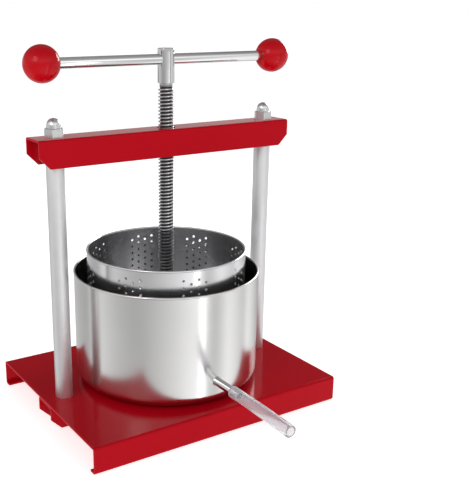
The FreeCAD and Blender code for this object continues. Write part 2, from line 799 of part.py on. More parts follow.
def make_press():
    nodes = [make_base_tray(), make_lower_channel(), make_crossbeam(), make_press_nut()]
    for side, sign in SIDES:
        nodes.append(make_post(side, sign))
        nodes.append(make_acorn_nut(side, sign))
        nodes.append(make_lower_washer(side, sign))
        nodes.append(make_lower_nut(side, sign))
        nodes.append(make_knob(side, sign))
        nodes.append(make_knob_insert(side, sign))
    nodes.append(make_press_screw())
    nodes.append(make_pressing_disc())
    nodes.append(make_disc_socket())
    nodes.append(make_set_screws())
    nodes.append(make_handle_bar())
    nodes.append(make_bucket())
    nodes.append(make_bucket_floor())
    nodes.append(make_spout())
    nodes.append(make_drain_hose())
    nodes.append(make_basket())
    doc.recompute()
    return nodes


def check_document(nodes):
    for thing in doc.Objects:
        if "Invalid" in thing.State or "Error" in thing.State:
            raise RuntimeError("%s failed to compute" % thing.Name)
    for node in nodes:
        if node.Shape.isNull() or not node.Shape.isValid():
            raise RuntimeError("%s has no valid shape" % node.Label)


def export(nodes):
    os.makedirs("parts", exist_ok=True)
    for node in nodes:
        node.Shape.exportStep(os.path.join("parts", node.Label + ".step"))
        box = node.Shape.BoundBox
        print("%-18s solids %d volume %9.0f mm3  x %.1f %.1f  y %.1f %.1f  z %.1f %.1f" % (
            node.Label, len(node.Shape.Solids), node.Shape.Volume,
            box.XMin, box.XMax, box.YMin, box.YMax, box.ZMin, box.ZMax,
        ))


fill_sheet()
press = make_press()
check_document(press)
export(press)
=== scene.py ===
import math

import bmesh
import bpy
from mathutils import Matrix, Vector


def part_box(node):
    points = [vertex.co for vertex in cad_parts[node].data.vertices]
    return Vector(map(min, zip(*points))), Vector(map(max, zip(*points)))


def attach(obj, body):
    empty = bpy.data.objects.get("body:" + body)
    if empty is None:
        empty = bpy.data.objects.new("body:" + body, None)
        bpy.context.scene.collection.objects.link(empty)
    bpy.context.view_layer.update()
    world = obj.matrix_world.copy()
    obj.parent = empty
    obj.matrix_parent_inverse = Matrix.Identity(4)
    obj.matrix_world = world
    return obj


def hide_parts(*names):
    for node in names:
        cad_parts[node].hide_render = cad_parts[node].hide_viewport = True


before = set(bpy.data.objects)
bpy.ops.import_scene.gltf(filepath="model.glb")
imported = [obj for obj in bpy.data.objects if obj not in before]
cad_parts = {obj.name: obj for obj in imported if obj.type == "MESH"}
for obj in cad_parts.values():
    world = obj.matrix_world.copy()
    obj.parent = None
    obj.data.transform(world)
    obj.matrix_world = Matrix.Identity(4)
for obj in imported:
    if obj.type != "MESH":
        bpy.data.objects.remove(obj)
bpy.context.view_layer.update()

# A basket press on a folded red base, with its screw, tee handle, pressing disc, perforated
# basket, bucket and clear drain hose. Metres; X runs along the crossbeam and the spout points to -Y.

# ---- sizes -------------------------------------------------------------------------------------

SHEET = 0.0025
BEND_OUTSIDE = 0.003
BEND_INSIDE = 0.0008
BASE_LIP = 0.010
CHANNEL_CORNER = 0.0125
STUD_HOLE = 0.0065
SCREW_WINDOW = 0.0103
CLEAR = 0.005                   # how far a cutting solid stands out of the sheet it cuts

POST_RADIUS = 0.010
STUD_RADIUS = 0.006
STUD_BEVEL = 0.0012
STUD_PITCH = 0.00175
STUD_ROOT = 0.0051

NUT_APOTHEM = 0.0095
NUT_CORNER_CUT = 0.0103
NUT_BORE = 0.00602
ACORN_HEX = 0.0095
ACORN_DOME = 0.0077
ACORN_BORE_DEPTH = 0.013
ACORN_FILLET = 0.0005

PITCH = 0.004
CREST_RADIUS = 0.009
ROOT_RADIUS = 0.0068
HALF_CREST = 0.00075
HALF_ROOT = 0.0013
THREAD_START = 0.0922
CORE_BASE = 0.0905
RELIEF_BASE = 0.3815
RELIEF_RADIUS = 0.0074
HEAD_BASE = 0.3855
HEAD_RADIUS = 0.0096
HEAD_BEVEL = 0.0006
FOOT_RADIUS = 0.006
GROOVE_RADIUS = 0.004
GROOVE_LOW = 0.078
GROOVE_HIGH = 0.084
THREAD_PLAY = 0.0001
SOCKET_BORE = 0.00605
SET_SCREW_HOLE = 0.0025
BAR_HOLE = 0.0061
BAR_HOLE_BAND = 0.008           # from the bar's axis to rows that frame its hole in the head

BAR_RADIUS = 0.006
BAR_SHOULDER = 0.133
BAR_TIP_RADIUS = 0.005
BAR_TIP_END = 0.149
BAR_TIP_BEVEL = 0.001
KNOB_RADIUS = 0.020
INSERT_RADIUS = 0.006
INSERT_HOLE_DEPTH = 0.019

POT_SHEET = 0.001
RIM_ROLL = 0.0012
BUCKET_RADIUS = 0.1115
BUCKET_CORNER = 0.014
BASKET_RADIUS = 0.0955
SPOUT_RADIUS = 0.005
SPOUT_BORE = 0.004
SPOUT_BAND = 0.009              # from the spout's axis to rows that frame its hole in the wall
WELD_RADIUS = 0.0057
WELD_BITE = 0.0002              # how far a weld reaches into the metal beside it
HOSE_RADIUS = 0.0068
HOSE_BORE = 0.00505

SIDES = {"left": -1, "right": 1}

# ---- camera ---------------------------------------------------------------------------------------

CAMERA_PLACE = Vector((-0.487691, -0.802220, 0.469847))
CAMERA_YAW = math.radians(31.376)
CAMERA_PITCH = math.radians(16.974)


def make_camera():
    data = bpy.data.cameras.new("camera")
    data.sensor_width = 36
    data.lens = 60.84
    data.shift_x = 0.1401
    data.shift_y = 0.0265
    camera = bpy.data.objects.new("camera", data)
    look = Vector((
        math.sin(CAMERA_YAW) * math.cos(CAMERA_PITCH),
        math.cos(CAMERA_YAW) * math.cos(CAMERA_PITCH),
        -math.sin(CAMERA_PITCH),
    ))
    camera.location = CAMERA_PLACE
    camera.rotation_euler = look.to_track_quat("-Z", "Y").to_euler()
    bpy.context.collection.objects.link(camera)
    bpy.context.scene.camera = camera


make_camera()

# ---- mesh tools -----------------------------------------------------------------------------------


def rounded(corners, closed=False, steps=6):
    """Outline through corners given as (x, y, radius), each corner rounded to its radius."""
    points = []
    count = len(corners)
    for i, (x, y, radius) in enumerate(corners):
        here = Vector((x, y))
        inner = closed or 0 < i < count - 1
        if radius == 0 or not inner:
            points.append((x, y))
            continue
        before = (Vector(corners[i - 1][:2]) - here).normalized()
        after = (Vector(corners[(i + 1) % count][:2]) - here).normalized()
        half = before.angle(after) / 2
        centre = here + (before + after).normalized() * radius / math.sin(half)
        start = here + before * radius / math.tan(half) - centre
        end = here + after * radius / math.tan(half) - centre
        first = math.atan2(start.y, start.x)
        turn = (math.atan2(end.y, end.x) - first + math.pi) % math.tau - math.pi
        for k in range(steps + 1):
            angle = first + turn * k / steps
            points.append((centre.x + radius * math.cos(angle), centre.y + radius * math.sin(angle)))
    return points


def arc(centre_x, centre_y, radius, first, last, steps):
    """Points of an arc, with its angles in degrees."""
    angles = [math.radians(first + (last - first) * k / steps) for k in range(steps + 1)]
    return [(centre_x + radius * math.cos(a), centre_y + radius * math.sin(a)) for a in angles]


def join_rows(bm, rows, closed=False):
    """Faces between neighbouring rows of vertices; a row with one vertex is a pole."""
    pairs = list(zip(rows, rows[1:]))
    if closed:
        pairs.append((rows[-1], rows[0]))
    for low, high in pairs:
        steps = max(len(low), len(high))
        for i in range(steps):
            j = (i + 1) % steps
            corners = [low[i % len(low)], low[j % len(low)], high[j % len(high)], high[i % len(high)]]
            corners = list(dict.fromkeys(corners))
            if len(corners) > 2:
                bm.faces.new(corners)


def lathe(bm, profile, steps, place=Matrix(), closed=False):
    """Turn a profile of (radius, height) about Z; it may be a function of the angle."""
    angles = [math.tau * i / steps for i in range(steps)]
    outlines = [profile(a) if callable(profile) else profile for a in angles]
    rows = []
    for k in range(len(outlines[0])):
        if max(outline[k][0] for outline in outlines) < 1e-9:
            rows.append([bm.verts.new(place @ Vector((0, 0, outlines[0][k][1])))])
            continue
        row = []
        for angle, outline in zip(angles, outlines):
            radius, height = outline[k]
            spot = Vector((radius * math.cos(angle), radius * math.sin(angle), height))
            row.append(bm.verts.new(place @ spot))
        rows.append(row)
    join_rows(bm, rows, closed)


def thread(bm, low, high, pitch, pattern, phase, limit, steps, place=Matrix()):
    """Helical surface from low to high; pattern is (offset, radius) over one pitch."""
    per_turn = len(pattern)
    first_turn = math.floor((low - phase) / pitch) - 2
    turns = math.ceil((high - low) / pitch) + 4

    def vertex(i, k):
        turn, part = divmod(k, per_turn)
        offset, radius = pattern[part]
        height = phase + pitch * (first_turn + turn + i / steps) + offset
        height = min(max(height, low), high)
        radius = limit(radius, min(height - low, high - height))
        angle = math.tau * i / steps
        return bm.verts.new(place @ Vector((radius * math.cos(angle), radius * math.sin(angle), height)))

    columns = [[vertex(i, k) for k in range(turns * per_turn)] for i in range(steps + 1)]
    for left, right in zip(columns, columns[1:]):
        for k in range(turns * per_turn - 1):
            bm.faces.new((left[k], right[k], right[k + 1], left[k + 1]))


def shade(mesh, sharp=35):
    mesh.shade_smooth()
    mesh.set_sharp_from_angle(angle=math.radians(sharp))


def to_mesh(name, bm, sharp=35):
    bmesh.ops.remove_doubles(bm, verts=bm.verts, dist=2e-6)
    bmesh.ops.dissolve_degenerate(bm, edges=bm.edges, dist=1e-6)
    bmesh.ops.recalc_face_normals(bm, faces=bm.faces)
    mesh = bpy.data.meshes.new(name)
    bm.to_mesh(mesh)
    bm.free()
    shade(mesh, sharp)
    return mesh


def cut_mesh(mesh, tool_bm, sharp=35):
    """The mesh with the tool's solids cut out of it."""
    blank = bpy.data.objects.new("blank", mesh)
    tool = bpy.data.objects.new("tool", to_mesh("tool", tool_bm))
    for thing in (blank, tool):
        bpy.context.collection.objects.link(thing)
    cut = blank.modifiers.new("cut", "BOOLEAN")
    cut.operation = "DIFFERENCE"
    cut.solver = "EXACT"
    cut.object = tool
    evaluated = blank.evaluated_get(bpy.context.evaluated_depsgraph_get())
    result = bpy.data.meshes.new_from_object(evaluated)
    for thing in (blank, tool):
        bpy.data.objects.remove(thing)
    result.materials.clear()
    result.name = mesh.name
    shade(result, sharp)
    return result


def rod(bm, radius, low, high, steps=64, place=Matrix()):
    lathe(bm, [(0, low), (radius, low), (radius, high), (0, high)], steps, place)


def along(direction, start):
    """Matrix that lays local Z along a direction, from a start point."""
    turn = Vector((0, 0, 1)).rotation_difference(Vector(direction)).to_matrix().to_4x4()
    return Matrix.Translation(start) @ turn


def centre_of(node):
    """Middle of a CAD node's box."""
    low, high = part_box(node)
    return (low + high) / 2


def piece(mesh, body, material, slot, *nodes):
    """Show a mesh in place of CAD nodes, riding on their body."""
    thing = bpy.data.objects.new(mesh.name, mesh)
    bpy.context.collection.objects.link(thing)
    mesh.materials.append(material)
    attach(thing, body)
    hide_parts(*nodes)
    return thing


def soften_edges(thing, width):
    """Small bevel on sharp edges, with normals that keep large faces flat."""
    bevel = thing.modifiers.new("edges", "BEVEL")
    bevel.width = width
    bevel.segments = 2
    bevel.limit_method = "ANGLE"
    bevel.angle_limit = math.radians(50)
    normals = thing.modifiers.new("normals", "WEIGHTED_NORMAL")
    normals.keep_sharp = True
    normals.weight = 100


# ---- material tools -------------------------------------------------------------------------------


class Nodes:
    """Short calls for the nodes of one tree."""

    def __init__(self, tree):
        self.tree = tree

    def add(self, kind, inputs=None, **settings):
        node = self.tree.nodes.new("ShaderNode" + kind)
        for name, value in settings.items():
            setattr(node, name, value)
        for name, value in (inputs or {}).items():
            socket = node.inputs[name]
            if isinstance(value, bpy.types.NodeSocket):
                self.tree.links.new(value, socket)
            else:
                socket.default_value = value
        return node

    def math(self, operation, first, second=0.0, clamp=False):
        return self.add("Math", {0: first, 1: second}, operation=operation, use_clamp=clamp).outputs[0]

    def spread(self, value, low, high):
        """Map a value in 0..1 to low..high."""
        return self.add("MapRange", {"Value": value, "To Min": low, "To Max": high}).outputs[0]

    def noise(self, vector, scale, detail=3.0, roughness=0.5):
        sizes = {"Vector": vector, "Scale": scale, "Detail": detail, "Roughness": roughness}
        return self.add("TexNoise", sizes).outputs[0]

    def ramp(self, factor, stops):
        node = self.add("ValToRGB", {"Fac": factor})
        elements = node.color_ramp.elements
        while len(elements) < len(stops):
            elements.new(0.5)
        for element, (position, value) in zip(elements, stops):
            element.position = position
            element.color = value if isinstance(value, tuple) else (value, value, value, 1)
        return node.outputs[0]

    def mix(self, factor, first, second):
        """Blend of two colours; 6, 7 and output 2 are the Mix node's colour sockets."""
        return self.add("Mix", {0: factor, 6: first, 7: second}, data_type="RGBA").outputs[2]


def new_material(name, color, metallic, roughness, **constants):
    made = bpy.data.materials.new(name)
    made.use_nodes = True
    shader = made.node_tree.nodes["Principled BSDF"]
    shader.inputs["Base Color"].default_value = (*color, 1)
    shader.inputs["Metallic"].default_value = metallic
    shader.inputs["Roughness"].default_value = roughness
    for socket, value in constants.items():
        shader.inputs[socket.replace("_", " ")].default_value = value
    return made, Nodes(made.node_tree), shader


def finish(nodes, shader, color=None, roughness=None, height=None, bump=0.1, depth=0.0001):
    """Link varied colour, roughness and bump to the shader."""
    if color is not None:
        nodes.tree.links.new(color, shader.inputs["Base Color"])
    if roughness is not None:
        nodes.tree.links.new(roughness, shader.inputs["Roughness"])
    if height is not None:
        relief = nodes.add("Bump", {"Height": height, "Strength": bump, "Distance": depth})
        nodes.tree.links.new(relief.outputs[0], shader.inputs["Normal"])


def from_axis(nodes, parts):
    """Distance from the Z axis."""
    across = nodes.math("MULTIPLY", parts[0], parts[0])
    along_y = nodes.math("MULTIPLY", parts[1], parts[1])
    return nodes.math("SQRT", nodes.math("ADD", across, along_y))


def blend_of(nodes, first, first_share, second, second_share):
    """Sum of two values, each times its share."""
    one = nodes.math("MULTIPLY", first, first_share)
    other = nodes.math("MULTIPLY", second, second_share)
    return nodes.math("ADD", one, other)


def turned_lines(nodes, fine, coarse):
    """Coordinates whose noise makes lines that run round the Z axis."""
    spot = nodes.add("TexCoord").outputs["Object"]
    parts = nodes.add("SeparateXYZ", {0: spot}).outputs
    across = blend_of(nodes, from_axis(nodes, parts), fine, parts[0], coarse)
    upward = blend_of(nodes, parts[2], fine, parts[1], coarse)
    return nodes.add("CombineXYZ", {0: across, 1: upward}).outputs[0]


def worn_surface(nodes, fine, cloud, roughness, swing):
    """Roughness that varies a little with fine lines and broad clouds."""
    broad = nodes.spread(cloud, roughness - 0.03, roughness + 0.03)
    return nodes.math("ADD", nodes.spread(fine, -swing, swing), broad)


def screw_metal(name):
    """Turned steel, bright on the crests of the thread, with painted shade that makes its roots dark."""
    made, nodes, shader = new_material(name, (0.70, 0.70, 0.71), 1.0, 0.16)
    spot = nodes.add("TexCoord").outputs["Object"]
    parts = nodes.add("SeparateXYZ", {0: spot}).outputs
    reach = {"Value": from_axis(nodes, parts), "From Min": ROOT_RADIUS, "From Max": CREST_RADIUS}
    outward = nodes.add("MapRange", reach, interpolation_type="SMOOTHSTEP").outputs[0]
    cloud = nodes.noise(spot, 300.0, 4.0)
    # Painted shade: this mask is 0 in the thread's roots, which the mix below colours near black, and 1
    # on the crests.
    painted_root_shade_mask = nodes.math("MULTIPLY", outward, nodes.spread(cloud, 0.85, 1.15), clamp=True)
    thread = nodes.mix(painted_root_shade_mask, (0.05, 0.05, 0.053, 1), (0.60, 0.60, 0.61, 1))
    head = {"Value": parts[2], "From Min": RELIEF_BASE, "From Max": HEAD_BASE}
    plain = nodes.add("MapRange", head).outputs[0]
    tone = nodes.mix(plain, thread, (0.66, 0.66, 0.67, 1))
    fine = nodes.noise(turned_lines(nodes, 3000.0, 12.0), 1.0, 4.0, 0.6)
    worn = nodes.math("ADD", nodes.spread(fine, -0.04, 0.04), nodes.spread(painted_root_shade_mask, 0.40, 0.10))
    finish(nodes, shader, tone, worn, fine, 0.08, 0.00002)
    return made


def straight_lines(nodes, scale):
    """Object coordinates stretched by a scale for each axis."""
    spot = nodes.add("TexCoord").outputs["Object"]
    return nodes.add("Mapping", {"Vector": spot, "Scale": scale}).outputs[0]


def red_gloss(name, color, roughness, peel, shine):
    """Glossy paint or plastic with faint orange peel."""
    made, nodes, shader = new_material(
        name, color, 0.0, roughness, IOR=1.4, Specular_IOR_Level=shine,
    )
    spot = nodes.add("TexCoord").outputs["Object"]
    cloud = nodes.noise(spot, 14.0, 4.0)
    deep = tuple(0.90 * c for c in color) + (1,)
    tone = nodes.mix(nodes.spread(cloud, 0.0, 1.0), deep, (*color, 1))
    worn = nodes.spread(nodes.noise(spot, 60.0, 4.0), roughness * 0.7, roughness * 1.4)
    finish(nodes, shader, tone, worn, nodes.noise(spot, peel, 2.0), 0.10, 0.00012)
    return made


def spun_steel(name, color, roughness, lines, bump, wall=0.0, inside_shade=1.0):
    """Stainless sheet with fine spun lines round its axis, and painted shade that darkens the face
    inside a wall's radius.
    """
    made, nodes, shader = new_material(name, color, 1.0, roughness)
    fine = nodes.noise(turned_lines(nodes, lines, 12.0), 1.0, 4.0, 0.6)
    spot = nodes.add("TexCoord").outputs["Object"]
    cloud = nodes.noise(spot, 22.0, 3.0)
    dark = tuple(0.93 * c for c in color) + (1,)
    tone = nodes.mix(cloud, dark, (*color, 1))
    if wall:
        away = from_axis(nodes, nodes.add("SeparateXYZ", {0: spot}).outputs)
        edge = {"Value": away, "From Min": wall - 0.9 * POT_SHEET, "From Max": wall - 0.5 * POT_SHEET}
        # Painted shade: the face inside the wall is coloured darker by this factor, to stand for the
        # shade inside the pot.
        inner = tuple(inside_shade * c for c in color) + (1,)
        tone = nodes.mix(nodes.add("MapRange", edge).outputs[0], inner, tone)
    worn = worn_surface(nodes, fine, cloud, roughness, 0.05)
    finish(nodes, shader, tone, worn, fine, bump, 0.00002)
    return made


def drawn_steel(name, color, roughness, stretch, bump):
    """Rod or plated steel with fine marks along one axis."""
    made, nodes, shader = new_material(name, color, 1.0, roughness)
    fine = nodes.noise(straight_lines(nodes, stretch), 1.0, 4.0, 0.6)
    cloud = nodes.noise(nodes.add("TexCoord").outputs["Object"], 90.0, 3.0)
    dark = tuple(0.92 * c for c in color) + (1,)
    tone = nodes.mix(cloud, dark, (*color, 1))
    worn = worn_surface(nodes, fine, cloud, roughness, 0.04)
    finish(nodes, shader, tone, worn, fine, bump, 0.00002)
    return made


def clear_plastic(name):
    made, nodes, shader = new_material(
        name, (0.93, 0.92, 0.95), 0.0, 0.12, IOR=1.42, Transmission_Weight=0.80,
    )
    spot = nodes.add("TexCoord").outputs["Object"]
    cloud = nodes.noise(spot, 160.0, 3.0)
    tone = nodes.mix(cloud, (0.88, 0.87, 0.90, 1), (0.96, 0.95, 0.98, 1))
    finish(nodes, shader, tone, nodes.spread(cloud, 0.07, 0.18), nodes.noise(spot, 500.0), 0.05, 0.0001)
    return made


RED = (0.46, 0.0015, 0.009)
red_paint = red_gloss("red_paint", RED, 0.13, 900.0, 0.12)
red_plastic = red_gloss("red_plastic", (0.48, 0.0012, 0.007), 0.10, 300.0, 0.25)
# The bucket's inside face gets painted shade, at 0.62 of the outside's colour.
pot_steel = spun_steel("pot_steel", (0.82, 0.815, 0.81), 0.20, 2600.0, 0.06, BUCKET_RADIUS, 0.62)
basket_steel = spun_steel("basket_steel", (0.84, 0.84, 0.85), 0.22, 2600.0, 0.06)
spout_steel = drawn_steel("spout_steel", (0.70, 0.70, 0.71), 0.10, (900, 60, 900), 0.03)
disc_steel = spun_steel("disc_steel", (0.74, 0.74, 0.75), 0.28, 1500.0, 0.15)
post_steel = drawn_steel("post_steel", (0.84, 0.84, 0.85), 0.50, (1500, 1500, 60), 0.08)
zinc = drawn_steel("zinc", (0.76, 0.77, 0.78), 0.28, (300, 300, 300), 0.10)
nut_steel = drawn_steel("nut_steel", (0.60, 0.60, 0.61), 0.36, (400, 400, 900), 0.15)
screw_steel = screw_metal("screw_steel")
bar_chrome = drawn_steel("bar_chrome", (0.86, 0.86, 0.87), 0.12, (40, 900, 900), 0.03)
brass = drawn_steel("brass", (0.72, 0.50, 0.20), 0.25, (500, 500, 500), 0.10)
clear_hose = clear_plastic("clear_hose")

# ---- drain hose -----------------------------------------------------------------------------------

spout_low, spout_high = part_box("spout")
SPOUT_HEIGHT = centre_of("spout").z
SPOUT_TIP = spout_low.y
SPOUT_INNER = spout_high.y
HOSE_ROUTE = [(0, -0.143, 0.060), (0, -0.168, 0.060), (0, -0.206, 0.0593), (0, -0.242, 0.0578)]


def smooth_line(route):
    """Points of the smooth line that has the route's points as its control points."""
    curve = bpy.data.curves.new("route", "CURVE")
    curve.dimensions = "3D"
    curve.resolution_u = 16
    spline = curve.splines.new("NURBS")
    spline.points.add(len(route) - 1)
    for point, place in zip(spline.points, route):
        point.co = (*place, 1)
    spline.order_u = 3
    spline.use_endpoint_u = True
    holder = bpy.data.objects.new("route", curve)
    bpy.context.collection.objects.link(holder)
    line = bpy.data.meshes.new_from_object(holder)
    points = [vertex.co.copy() for vertex in line.vertices]
    bpy.data.objects.remove(holder)
    return points


def tube_mesh(name, line, radius, bore, lip, steps):
    """Open tube along a line in the YZ plane, with rounded ends."""
    side = Vector((1, 0, 0))
    middle = (radius + bore) / 2
    part = 0.3 * lip
    turn_in = [(radius - lip, 0.0), (radius - part, part), (radius, lip)]
    turn_out = [(radius - part, -part), (radius - lip, 0.0)]
    stations = []
    for number, point in enumerate(line):
        before = line[max(number - 1, 0)]
        after = line[min(number + 1, len(line) - 1)]
        forward = (after - before).normalized()
        stations.append((point, forward, forward.cross(side)))
    outer = [(stations[0], r, shift) for r, shift in turn_in]
    outer += [(station, radius, 0.0) for station in stations[1:-1]]
    outer += [(stations[-1], radius, -lip)] + [(stations[-1], r, shift) for r, shift in turn_out]
    inner = [(stations[-1], bore, 0.0)] + [(s, bore, 0.0) for s in reversed(stations[1:-1])]
    inner += [(stations[0], bore, 0.0), (stations[0], middle - part, 0.0)]
    bm = bmesh.new()
    rows = []
    for (point, forward, upward), r, shift in outer + inner:
        centre = point + forward * shift
        row = []
        for i in range(steps):
            angle = math.tau * i / steps
            row.append(bm.verts.new(centre + side * r * math.cos(angle) + upward * r * math.sin(angle)))
        rows.append(row)
    join_rows(bm, rows, closed=True)
    return to_mesh(name, bm)


hose_line = smooth_line(HOSE_ROUTE)
hose = piece(
    tube_mesh("hose", hose_line, HOSE_RADIUS, HOSE_BORE, 0.0003, 48),
    "bucket", clear_hose, "clear_hose", "drain_hose",
)


def wall_distance(offset):
    """How far the bucket's wall lies along -Y, at an offset to the side of the spout's axis."""
    return math.sqrt(BUCKET_RADIUS ** 2 - offset ** 2)


def spout_profile(angle):
    """Spout with a weld fillet that follows the bucket's wall; heights are distances from the axis."""
    inner_end, tip, lip = -SPOUT_INNER, -SPOUT_TIP, 0.0003
    sideways = abs(math.cos(angle))
    foot = wall_distance(WELD_RADIUS * sideways) - WELD_BITE
    neck = wall_distance(SPOUT_RADIUS * sideways) - WELD_BITE
    return [
        (SPOUT_BORE, inner_end), (SPOUT_RADIUS, inner_end), (SPOUT_RADIUS, neck),
        (WELD_RADIUS, foot), (WELD_RADIUS - 0.00005, foot + 0.0003),
        (WELD_RADIUS - 0.0002, foot + 0.0005), (SPOUT_RADIUS + 0.0002, foot + 0.0008),
        (SPOUT_RADIUS, foot + 0.0012),
        (SPOUT_RADIUS, tip - lip), (SPOUT_RADIUS - lip, tip),
        (SPOUT_BORE + lip, tip), (SPOUT_BORE, tip - lip),
    ]


def make_spout():
    bm = bmesh.new()
    lathe(bm, spout_profile, 64, along((0, -1, 0), Vector((0, 0, SPOUT_HEIGHT))), closed=True)
    return piece(to_mesh("spout_tube", bm), "bucket", spout_steel, "stainless_pot", "spout")


spout = make_spout()

# ---- folded sheet ---------------------------------------------------------------------------------


def channel_outline(half_depth, bottom, top):
    return rounded([
        (-half_depth, bottom, 0), (-half_depth, top, BEND_OUTSIDE),
        (half_depth, top, BEND_OUTSIDE), (half_depth, bottom, 0),
        (half_depth - SHEET, bottom, 0), (half_depth - SHEET, top - SHEET, BEND_INSIDE),
        (SHEET - half_depth, top - SHEET, BEND_INSIDE), (SHEET - half_depth, bottom, 0),
    ], closed=True)


def tray_outline(half_depth, bottom, top):
    inside, lip = half_depth - SHEET, half_depth - BASE_LIP
    half = [
        (half_depth, top, BEND_OUTSIDE), (half_depth, bottom, BEND_OUTSIDE),
        (lip, bottom, 0), (lip, bottom + SHEET, 0),
        (inside, bottom + SHEET, BEND_INSIDE), (inside, top - SHEET, BEND_INSIDE),
    ]
    mirrored = [(-y, z, radius) for y, z, radius in reversed(half)]
    return rounded(half + mirrored, closed=True)


def corner_prism(tool, sign, low, high):
    """Solid that cuts the lower corner off one end of a channel."""
    inner = sign * (high.x - CHANNEL_CORNER - CLEAR)
    outer = sign * (high.x + CLEAR)
    bottom, top = low.z - CLEAR, low.z + CHANNEL_CORNER + CLEAR
    triangle = [(inner, bottom), (outer, bottom), (outer, top)]
    ends = [[tool.verts.new((x, y, z)) for x, z in triangle] for y in (low.y - CLEAR, high.y + CLEAR)]
    tool.faces.new(ends[0])
    tool.faces.new(list(reversed(ends[1])))
    join_rows(tool, ends)


def folded_sheet(name, shape, node, corners, window):
    """Bent sheet along X with its stud holes, its cut corners and the hole for the screw."""
    low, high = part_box(node)
    outline = shape(high.y, low.z, high.z)
    bm = bmesh.new()
    near = [bm.verts.new((low.x, y, z)) for y, z in outline]
    far = [bm.verts.new((high.x, y, z)) for y, z in outline]
    bm.faces.new(near)
    bm.faces.new(list(reversed(far)))
    for i in range(len(outline)):
        j = (i + 1) % len(outline)
        bm.faces.new((near[j], near[i], far[i], far[j]))
    blank = to_mesh(name, bm)
    tool = bmesh.new()
    for side, sign in SIDES.items():
        middle = centre_of(side + "_post")
        place = Matrix.Translation((middle.x, middle.y, 0))
        rod(tool, STUD_HOLE, low.z - CLEAR, high.z + CLEAR, 64, place)
        if corners:
            corner_prism(tool, sign, low, high)
    if window:
        rod(tool, SCREW_WINDOW, low.z - CLEAR, high.z + CLEAR, 96)
    made = piece(cut_mesh(blank, tool), "frame", red_paint, "red_paint", node)
    soften_edges(made, 0.0003)


folded_sheet("base", tray_outline, "base_tray", corners=False, window=False)
folded_sheet("base_channel", channel_outline, "lower_channel", corners=True, window=False)
folded_sheet("beam", channel_outline, "crossbeam", corners=True, window=True)

# ---- posts and their fasteners --------------------------------------------------------------------


def on_post(node):
    """Matrix that puts a turned shape on the axis of a node that stands on a post."""
    return Matrix.Translation((centre_of(node).x, 0, 0))


def hexagon_radius(angle):
    return NUT_APOTHEM / math.cos(angle % (math.pi / 3) - math.pi / 6)


def hexagon_side(angle, low, high, bevel_below):
    """Outline of a bevelled hexagon, from its lower to its upper face."""
    radius = hexagon_radius(angle)
    cut = min(radius, NUT_CORNER_CUT)
    fall = (radius - cut) * math.tan(math.pi / 6)
    sliver = 0.0001
    lower = [(radius, low), (radius, low + sliver)]
    if bevel_below:
        lower = [(cut, low), (radius, low + fall)]
    return lower + [(radius, high - fall), (cut, high)]


def external_thread(root):
    """Limit for a thread that runs out at 45 degrees into its root at both ends."""
    return lambda radius, distance: min(radius, root + distance)


def make_post(side):
    node = side + "_post"
    low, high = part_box(node)
    place = on_post(node)
    beam_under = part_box("crossbeam")[1].z - SHEET
    base_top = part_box("base_tray")[1].z
    nut_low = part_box(side + "_lower_nut")[0].z
    soft = 0.0004
    bm = bmesh.new()
    lathe(bm, [(0, low.z), (STUD_ROOT, low.z)], 48, place)
    root, crest = STUD_PITCH / 2, 0.12 * STUD_PITCH
    pattern = [(-root, STUD_ROOT), (-crest, STUD_RADIUS), (crest, STUD_RADIUS)]
    thread(
        bm, low.z, nut_low + STUD_PITCH, STUD_PITCH, pattern, low.z,
        external_thread(STUD_ROOT), 48, place,
    )
    profile = [(STUD_ROOT, nut_low + STUD_PITCH), (STUD_RADIUS, nut_low + 2 * STUD_PITCH)]
    profile += rounded([
        (STUD_RADIUS, base_top, 0), (POST_RADIUS, base_top, soft), (POST_RADIUS, beam_under, soft),
        (STUD_RADIUS, beam_under, 0),
    ], steps=3)
    profile += [(STUD_RADIUS, high.z - STUD_BEVEL), (STUD_RADIUS - STUD_BEVEL, high.z), (0, high.z)]
    lathe(bm, profile, 48, place)
    piece(to_mesh(side + "_post_rod", bm), "frame", post_steel, "post_steel", node)


def make_acorn_nut(side):
    node = side + "_acorn_nut"
    low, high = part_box(node)
    bore_end, hex_top = low.z + ACORN_BORE_DEPTH, low.z + ACORN_HEX
    neck_top = high.z - ACORN_DOME

    def profile(angle):
        points = [(0, bore_end), (NUT_BORE, bore_end), (NUT_BORE, low.z)]
        points += hexagon_side(angle, low.z, hex_top, False)
        points += [(ACORN_DOME + ACORN_FILLET, hex_top), (ACORN_DOME, hex_top + ACORN_FILLET)]
        points += arc(0, neck_top, ACORN_DOME, 0, 85, 17) + [(0, high.z)]
        return points

    bm = bmesh.new()
    lathe(bm, profile, 72, on_post(node))
    made = piece(to_mesh(side + "_acorn", bm, 20), "frame", zinc, "zinc_plate", node)
    soften_edges(made, 0.0002)


def make_lower_nut(side):
    node = side + "_lower_nut"
    low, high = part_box(node)

    def profile(angle):
        return [(NUT_BORE, high.z), (NUT_BORE, low.z)] + hexagon_side(angle, low.z, high.z, True)

    bm = bmesh.new()
    lathe(bm, profile, 72, on_post(node), closed=True)
    made = piece(to_mesh(side + "_nut", bm, 20), "frame", zinc, "zinc_plate", node)
    soften_edges(made, 0.0002)


def make_washer(side):
    node = side + "_lower_washer"
    low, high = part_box(node)
    radius, soft = (high.x - low.x) / 2, 0.0004
    profile = rounded([
        (STUD_HOLE, low.z, soft), (radius, low.z, soft), (radius, high.z, soft),
        (STUD_HOLE, high.z, soft),
    ], closed=True, steps=3)
    bm = bmesh.new()
    lathe(bm, profile, 64, on_post(node), closed=True)
    piece(to_mesh(side + "_washer", bm), "frame", zinc, "zinc_plate", node)


for side in SIDES:
    make_post(side)
    make_acorn_nut(side)
    make_lower_nut(side)
    make_washer(side)

# ---- screw and nut --------------------------------------------------------------------------------

THREAD_STEPS = 48


